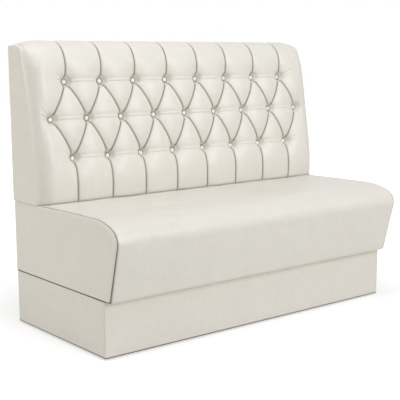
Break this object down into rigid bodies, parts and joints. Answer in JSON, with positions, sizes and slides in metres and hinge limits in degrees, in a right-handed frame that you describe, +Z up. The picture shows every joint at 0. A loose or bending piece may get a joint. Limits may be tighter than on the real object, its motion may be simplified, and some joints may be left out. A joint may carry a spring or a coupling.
{
  "type": "restaurant booth bench",
  "caption": "Upholstered booth bench: deep undercut seat on a boxed plinth, tall leaning back with diamond button tufting, levelling feet beneath.",
  "frame": {"origin": "on the floor under the middle of the bench's box", "axes": "+X along the bench to a seated person's left, +Y to the rear of the bench, +Z up; the seat faces -Y"},
  "size_m": [1.4, 0.68, 1.0624],
  "materials": {
    "ivory_leatherette": "fine grained ivory leatherette with a soft satin sheen",
    "button_leatherette": "glossy pearl ivory covering pulled tight on a domed button",
    "plywood": "raw birch plywood",
    "beech": "sawn beech block",
    "hardboard": "smooth brown hardboard",
    "foam": "open-cell upholstery foam",
    "zinc_steel": "zinc plated steel",
    "nylon": "black moulded nylon",
    "twine": "waxed buttoning twine",
    "toggle_plastic": "moulded plastic disc"
  },
  "bodies": {
    "bench": {"back_bolts": "zinc_steel", "back_bottom_board": "plywood", "back_cover": "ivory_leatherette", "back_cover_left": "ivory_leatherette", "back_cover_rear": "ivory_leatherette", "back_cover_right": "ivory_leatherette", "back_foam": "foam", "back_front_board": "plywood", "back_left_rib": "plywood", "back_rear_panel": "hardboard", "back_right_rib": "plywood", "back_side_left": "plywood", "back_side_right": "plywood", "back_top_rail": "plywood", "bolt_nuts": "zinc_steel", "button_twines": "twine", "buttons_lower_row": "button_leatherette", "buttons_middle_row": "button_leatherette", "buttons_upper_row": "button_leatherette", "foot_inserts": "zinc_steel", "plinth_corner_blocks": "beech", "plinth_cover_front": "ivory_leatherette", "plinth_cover_left": "ivory_leatherette", "plinth_cover_rear": "ivory_leatherette", "plinth_cover_right": "ivory_leatherette", "plinth_front_board": "plywood", "plinth_left_board": "plywood", "plinth_left_rib": "plywood", "plinth_rear_board": "plywood", "plinth_right_board": "plywood", "plinth_right_rib": "plywood", "plinth_top_board": "plywood", "seat_base_board": "plywood", "seat_bolts": "zinc_steel", "seat_cover": "ivory_leatherette", "seat_cover_left": "ivory_leatherette", "seat_cover_rear": "ivory_leatherette", "seat_cover_right": "ivory_leatherette", "seat_deck": "plywood", "seat_foam": "foam", "seat_front_board": "plywood", "seat_left_rib": "plywood", "seat_rear_board": "plywood", "seat_rear_shelf": "plywood", "seat_right_rib": "plywood", "seat_riser": "plywood", "seat_side_left": "plywood", "seat_side_right": "plywood", "twine_toggles": "toggle_plastic"},
    "foot_front_left": {"foot_pad_front_left": "nylon", "foot_stem_front_left": "zinc_steel"},
    "foot_front_right": {"foot_pad_front_right": "nylon", "foot_stem_front_right": "zinc_steel"},
    "foot_rear_left": {"foot_pad_rear_left": "nylon", "foot_stem_rear_left": "zinc_steel"},
    "foot_rear_right": {"foot_pad_rear_right": "nylon", "foot_stem_rear_right": "zinc_steel"}
  },
  "joints": [
    {"name": "foot_front_left_screw", "type": "slide", "parent": "bench", "child": "foot_front_left", "axis": [0, 0, -1], "range_m": [0, 0.012]},
    {"name": "foot_front_right_screw", "type": "slide", "parent": "bench", "child": "foot_front_right", "axis": [0, 0, -1], "range_m": [0, 0.012]},
    {"name": "foot_rear_left_screw", "type": "slide", "parent": "bench", "child": "foot_rear_left", "axis": [0, 0, -1], "range_m": [0, 0.012]},
    {"name": "foot_rear_right_screw", "type": "slide", "parent": "bench", "child": "foot_rear_right", "axis": [0, 0, -1], "range_m": [0, 0.012]}
  ]
}
